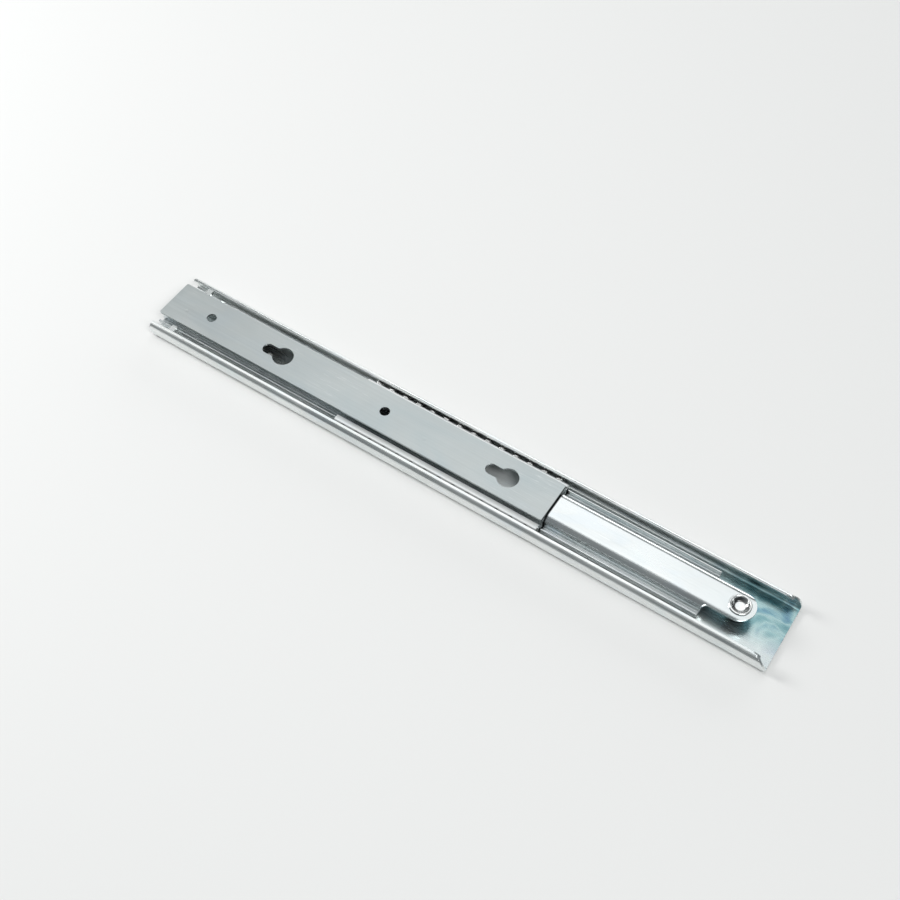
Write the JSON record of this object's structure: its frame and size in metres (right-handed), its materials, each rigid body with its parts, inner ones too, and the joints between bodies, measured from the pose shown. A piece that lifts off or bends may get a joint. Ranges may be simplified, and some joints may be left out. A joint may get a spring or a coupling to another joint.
{
  "type": "drawer slide",
  "caption": "Slim side-mounted ball-bearing drawer slide: a C-shaped cabinet rail, a hat-shaped drawer rail with keyholed plate, and a ball cage between them.",
  "frame": {"origin": "centre of the cabinet rail's flat back face", "axes": "+X along the slide towards its rear end, away from the drawer front; +Z from the cabinet side to the drawer side; +Y across the slide"},
  "size_m": [0.4, 0.045, 0.0127],
  "materials": {
    "cabinet_zinc": "bright zinc plate with a blue-green passivate",
    "drawer_zinc": "bright zinc plate",
    "plate_zinc": "zinc plate, satin",
    "cage_zinc": "zinc plate",
    "ball_steel": "polished bearing steel",
    "rivet_zinc": "bright zinc plate",
    "buffer_rubber": "plain"
  },
  "bodies": {
    "cabinet_member": {"cabinet_rail": "cabinet_zinc"},
    "drawer_member": {"drawer_rail": "drawer_zinc", "drawer_plate": "plate_zinc", "stop_rivet": "rivet_zinc", "stop_buffer": "buffer_rubber"},
    "ball_carriage": {"ball_cage": "cage_zinc", "ball_left_01": "ball_steel", "ball_left_02": "ball_steel", "ball_left_03": "ball_steel", "ball_left_04": "ball_steel", "ball_left_05": "ball_steel", "ball_left_06": "ball_steel", "ball_left_07": "ball_steel", "ball_left_08": "ball_steel", "ball_left_09": "ball_steel", "ball_left_10": "ball_steel", "ball_left_11": "ball_steel", "ball_left_12": "ball_steel", "ball_left_13": "ball_steel", "ball_left_14": "ball_steel", "ball_right_01": "ball_steel", "ball_right_02": "ball_steel", "ball_right_03": "ball_steel", "ball_right_04": "ball_steel", "ball_right_05": "ball_steel", "ball_right_06": "ball_steel", "ball_right_07": "ball_steel", "ball_right_08": "ball_steel", "ball_right_09": "ball_steel", "ball_right_10": "ball_steel", "ball_right_11": "ball_steel", "ball_right_12": "ball_steel", "ball_right_13": "ball_steel", "ball_right_14": "ball_steel"}
  },
  "joints": [
    {"name": "drawer_slide", "type": "slide", "parent": "cabinet_member", "child": "drawer_member", "axis": [-1, 0, 0], "range_m": [0, 0.212]},
    {"name": "carriage_slide", "type": "slide", "parent": "cabinet_member", "child": "ball_carriage", "axis": [-1, 0, 0], "range_m": [0, 0.106]}
  ],
  "couplings": [
    {"joint": "carriage_slide", "follows": "drawer_slide", "ratio": 0.5}
  ]
}
